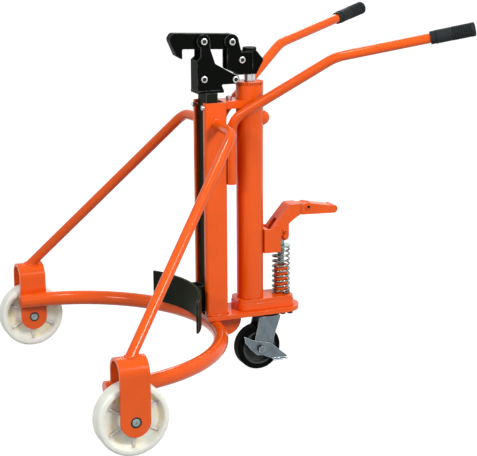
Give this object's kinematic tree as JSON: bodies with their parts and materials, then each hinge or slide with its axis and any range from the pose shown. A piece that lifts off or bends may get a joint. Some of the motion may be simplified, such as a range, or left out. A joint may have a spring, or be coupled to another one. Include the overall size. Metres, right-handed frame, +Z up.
{
  "type": "hydraulic drum truck",
  "caption": "Foot-pumped drum truck: open tube base on nylon wheels and a braked caster, channel mast, lifting carriage with a rim clamp, hydraulic ram and push handles.",
  "frame": {"origin": "on the floor, at the middle of the bounding box", "axes": "+Z up, -Y towards the drum, +Y towards the handles, +X to the right of a person at the handles"},
  "size_m": [1.003, 1.0861, 0.9632],
  "materials": {
    "orange_paint": "gloss enamel",
    "black_paint": "satin enamel",
    "bright_steel": "bright turned",
    "zinc_plate": "zinc plated",
    "white_nylon": "cast nylon",
    "grip_rubber": "matt, ribbed",
    "slide_plastic": "matt",
    "spring_steel": "zinc plated wire",
    "rod_chrome": "hard chrome",
    "dark_iron": "black oxide",
    "caster_tread": "matt",
    "hub_plastic": "moulded"
  },
  "bodies": {
    "frame": {"base_ring": "orange_paint", "base_plate": "orange_paint", "ring_gusset": "orange_paint", "mast_channel": "orange_paint", "mast_tie": "orange_paint", "right_fork": "orange_paint", "left_fork": "orange_paint", "right_brace": "orange_paint", "left_brace": "orange_paint", "right_handle": "orange_paint", "left_handle": "orange_paint", "pump_block": "orange_paint", "reservoir_tube": "orange_paint", "gland_cap": "orange_paint", "filler_plug": "orange_paint", "pump_barrel": "orange_paint", "lever_bracket": "orange_paint", "fulcrum_pin": "orange_paint", "mast_stop_bolts": "bright_steel", "tie_bolt": "bright_steel", "front_axles": "bright_steel", "axle_spacers": "bright_steel", "inner_cylinder": "bright_steel", "caster_plate": "zinc_plate", "swivel_race": "zinc_plate", "kingpin": "zinc_plate", "right_grip": "grip_rubber", "left_grip": "grip_rubber", "return_spring": "spring_steel", "plate_bolts": "dark_iron"},
    "carriage": {"inner_mast": "black_paint", "guide_shoes": "slide_plastic", "drum_plate": "black_paint", "plate_bracket": "black_paint", "mast_head": "black_paint", "clamp_bracket": "black_paint", "head_bolts": "bright_steel", "head_spacers": "bright_steel"},
    "hook": {"hook": "black_paint", "link_bolt": "bright_steel"},
    "link": {"link_plates": "black_paint"},
    "ram": {"rod_head": "black_paint", "rod_head_bolt": "bright_steel", "rod_cap": "black_paint", "piston_rod": "rod_chrome", "piston": "dark_iron"},
    "lever": {"pump_lever": "orange_paint", "clevis_pin": "orange_paint"},
    "plunger": {"plunger": "bright_steel"},
    "pedal": {"pedal": "orange_paint", "pedal_pin": "orange_paint"},
    "right_wheel": {"right_wheel": "white_nylon", "right_wheel_bearings": "bright_steel"},
    "left_wheel": {"left_wheel": "white_nylon", "left_wheel_bearings": "bright_steel"},
    "caster": {"caster_fork": "zinc_plate", "caster_axle": "zinc_plate"},
    "caster_wheel": {"caster_tyre": "caster_tread", "caster_hub": "hub_plastic"},
    "brake": {"brake_plate": "zinc_plate"}
  },
  "joints": [
    {"name": "lift", "type": "slide", "parent": "frame", "child": "carriage", "axis": [0, 0, 1], "range_m": [0, 0.305]},
    {"name": "hook_swing", "type": "hinge", "parent": "carriage", "child": "hook", "pos_m": [0, -0.093, 0.911], "axis": [1, 0, 0], "range_deg": [0, 12]},
    {"name": "link_turn", "type": "hinge", "parent": "hook", "child": "link", "pos_m": [0, -0.012, 0.906], "axis": [1, 0, 0], "range_deg": [-11.2, 0]},
    {"name": "ram_stroke", "type": "slide", "parent": "carriage", "child": "ram", "axis": [0, 0, 1], "range_m": [0, 0.0175]},
    {"name": "pump", "type": "hinge", "parent": "frame", "child": "lever", "pos_m": [0, 0.10331, 0.36751], "axis": [1, 0, 0], "range_deg": [-22, 0], "stiffness_Nm_per_rad": 14, "springref_deg": 25.78},
    {"name": "plunger_stroke", "type": "slide", "parent": "frame", "child": "plunger", "axis": [0, 0, 1], "range_m": [-0.0131, 0], "deforming": ["return_spring"]},
    {"name": "pedal_fold", "type": "hinge", "parent": "lever", "child": "pedal", "pos_m": [0, 0.209, 0.447], "axis": [1, 0, 0], "range_deg": [0, 85]},
    {"name": "right_wheel_spin", "type": "hinge", "parent": "frame", "child": "right_wheel", "pos_m": [0.46, -0.453, 0.09], "axis": [1, 0, 0], "continuous": true},
    {"name": "left_wheel_spin", "type": "hinge", "parent": "frame", "child": "left_wheel", "pos_m": [-0.46, -0.453, 0.09], "axis": [1, 0, 0], "continuous": true},
    {"name": "caster_swivel", "type": "hinge", "parent": "frame", "child": "caster", "pos_m": [0, 0.097, 0.15], "axis": [0, 0, 1], "continuous": true},
    {"name": "caster_spin", "type": "hinge", "parent": "caster", "child": "caster_wheel", "pos_m": [0, 0.065, 0.0625], "axis": [1, 0, 0], "continuous": true},
    {"name": "brake_lift", "type": "hinge", "parent": "caster", "child": "brake", "pos_m": [0.0278, 0.065, 0.0625], "axis": [1, 0, 0], "range_deg": [0, 18]}
  ],
  "couplings": [
    {"joint": "link_turn", "follows": "hook_swing", "ratio": -0.92702},
    {"joint": "ram_stroke", "follows": "hook_swing", "m_per_rad": 0.082965},
    {"joint": "plunger_stroke", "follows": "pump", "m_per_rad": 0.033792}
  ]
}
